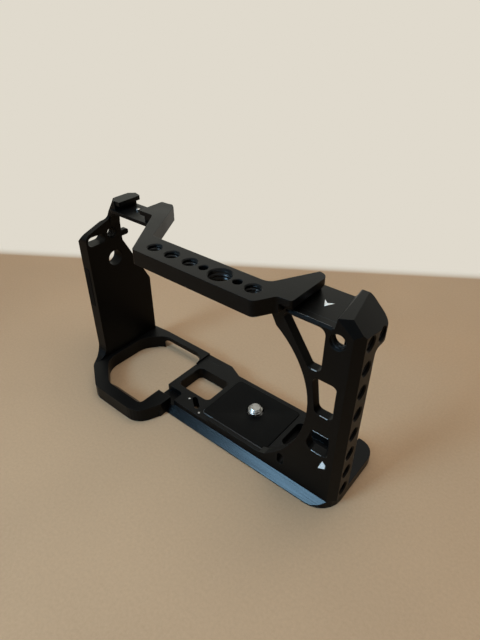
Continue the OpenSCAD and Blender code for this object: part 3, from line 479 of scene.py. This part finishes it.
def camera_screw():
    """Captive screw: slotted head below, groove for the ring, real thread at the top."""
    cx, cy = SCREW_AT
    profile = [(5.7, 0.2), (6.2, 0.45), (6.2, 1.27), (6.05, 1.45), (2.67, 1.45), (2.67, 3.45),
               (2.31, 3.5), (2.31, 4.0), (2.62, 4.05), (2.62, 7.9), (2.15, 8.4)]
    head = turned("screw_body", SCREW_AT, profile, bright_steel, "screw", segs=64)
    half_l, half_w, slot_bottom, slot_top = 8.0, 0.7, -1.0, 1.0
    outline = ((-half_l, -half_w), (half_l, -half_w), (half_l, half_w), (-half_l, half_w))
    verts = [Vector((cx + x, cy + y, z)) * MM for z in (slot_bottom, slot_top) for x, y in outline]
    cut = bpy.data.meshes.new("slot")
    cut.from_pydata(verts, [], tube_faces(2, 4))
    cutter = bpy.data.objects.new("slot", cut)
    scene.collection.objects.link(cutter)
    mod = head.modifiers.new("slot", "BOOLEAN")
    mod.operation = "DIFFERENCE"
    mod.solver = "EXACT"
    mod.object = cutter
    deps = bpy.context.evaluated_depsgraph_get()
    slotted = bpy.data.meshes.new_from_object(head.evaluated_get(deps))
    head.modifiers.clear()
    head.data = slotted
    bpy.data.objects.remove(cutter)
    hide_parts("camera_screw")
    root, crest, length = 2.6, 3.17, 2.6
    verts, faces = helix((cx, cy, 5.5), UP, root, crest, length, QUARTER[1])
    piece("screw_thread", verts, faces, bright_steel, "screw")


seat()
camera_screw()


# ---------------------------------------------------------------- floor
WALL_WAY = (-0.553, 0.834, 0.0)         # level direction from the cage to the wall behind it
WALL_LINE = 0.141                       # distance that way at which the mat ends
WALL_BLUR = 12 * MM                     # over which it turns into the pale floor
WALL_TONE = (0.745, 0.700, 0.610)
WALL_FLOOR = (0.74, 0.70, 0.62)         # the floor past that line
MAT_TONES = ((0.335, 0.222, 0.133), (0.382, 0.252, 0.15))
FLOOR_HALF = 6.0
FLOOR_DROP = 0.2 * MM                   # keeps the floor clear of the cage's underside


def stage_floor():
    """Brown mat with a fine grain. Past it lies a pale floor, seen as the wall's colour."""
    n = Finish("floor")
    place = n.axes(n.add("ShaderNodeNewGeometry").outputs["Position"])
    past = n.math("ADD", n.math("MULTIPLY", place["X"], WALL_WAY[0]),
                  n.math("MULTIPLY", place["Y"], WALL_WAY[1]))
    back = n.span(past, WALL_LINE, WALL_LINE + WALL_BLUR)
    grain = n.noise(900, 4, 0.7)
    cloud = n.noise(9, 3, 0.5)
    mat_tone = n.ramp(cloud, [(0.3, MAT_TONES[0]), (0.75, MAT_TONES[1])])
    mat_tone = n.mix(1.0, mat_tone, n.span(grain, 0.3, 0.7, 0.93, 1.07), blend="MULTIPLY")
    n.shade(Base_Color=n.mix(back, mat_tone, WALL_FLOOR), Roughness=0.75, Specular_IOR_Level=0.2,
            Normal=n.bump(grain, 0.3, 0.15 * MM))
    glow = n.add("ShaderNodeEmission")
    n.feed(glow.inputs["Color"], WALL_TONE)
    rays = n.add("ShaderNodeLightPath").outputs
    seen = n.math("MAXIMUM", rays["Is Camera Ray"], rays["Is Glossy Ray"])
    shader = n.add("ShaderNodeMixShader")
    n.feed(shader.inputs[0], n.math("MULTIPLY", back, seen))
    n.feed(shader.inputs[1], n.bsdf.outputs[0])
    n.feed(shader.inputs[2], glow.outputs[0])
    n.feed(n.tree.nodes["Material Output"].inputs["Surface"], shader.outputs[0])
    me = bpy.data.meshes.new("floor")
    corners = ((-1, -1), (1, -1), (1, 1), (-1, 1))
    me.from_pydata([(x * FLOOR_HALF, y * FLOOR_HALF, 0) for x, y in corners], [], [(0, 1, 2, 3)])
    me.materials.append(n.mat)
    ob = bpy.data.objects.new("floor", me)
    scene.collection.objects.link(ob)
    ob.location.z = -FLOOR_DROP


stage_floor()

# ---------------------------------------------------------------- room and lamps
ROOM_WALL = (1.12, 1.11, 0.98)
ROOM_SIDE = (0.17, 0.16, 0.14)
ROOM_FRONT = (0.14, 0.14, 0.16)
ROOM_CEILING = (0.30, 0.30, 0.28)


def soft_room():
    """Bright wall behind the object, dimmer room in front and to the right, ceiling above."""
    world = bpy.data.worlds.new("world")
    world.use_nodes = True
    n = Nodes(world.node_tree)
    way = n.add("ShaderNodeTexCoord").outputs["Generated"]
    along = n.axes(way)
    room = n.mix(n.span(n.dot(way, WALL_WAY), -0.3, 0.45, smooth=True), ROOM_FRONT, ROOM_WALL)
    room = n.mix(n.span(along["X"], 0.0, 0.4, smooth=True), room, ROOM_SIDE)
    room = n.mix(n.span(along["Z"], 0.42, 0.74, smooth=True), room, ROOM_CEILING)
    rays = n.add("ShaderNodeLightPath").outputs
    seen = n.mix(rays["Is Camera Ray"], room, WALL_TONE)
    n.feed(n.tree.nodes["Background"].inputs["Color"], seen)
    scene.world = world


def softbox(name, at, look, size, watts, colour, spread=180):
    """Area lamp that looks at a point. A small spread, in degrees, narrows its light."""
    la = bpy.data.lights.new(name, "AREA")
    la.shape = "RECTANGLE"
    la.size, la.size_y = size
    la.energy = watts
    la.color = colour
    la.spread = math.radians(spread)
    ob = bpy.data.objects.new(name, la)
    ob.location = at
    ob.rotation_euler = (Vector(look) - Vector(at)).to_track_quat("-Z", "Y").to_euler()
    scene.collection.objects.link(ob)


soft_room()
softbox("key", at=(0.14, 0.2, 1.3), look=(0, 0, 0.03), size=(1.0, 1.0), watts=10.5,
        colour=(1.0, 0.96, 0.9))
softbox("cool", at=(-0.16, -0.57, 0.37), look=(0.02, -0.01, 0.0), size=(0.2, 0.2), watts=0.38,
        colour=(0.38, 0.70, 1.0), spread=50)
softbox("cool_high", at=(-0.20, -0.43, 0.54), look=(0.02, -0.01, 0.05), size=(0.26, 0.2),
        watts=0.8, colour=(0.78, 0.9, 1.0))

scene.view_settings.view_transform = "Standard"
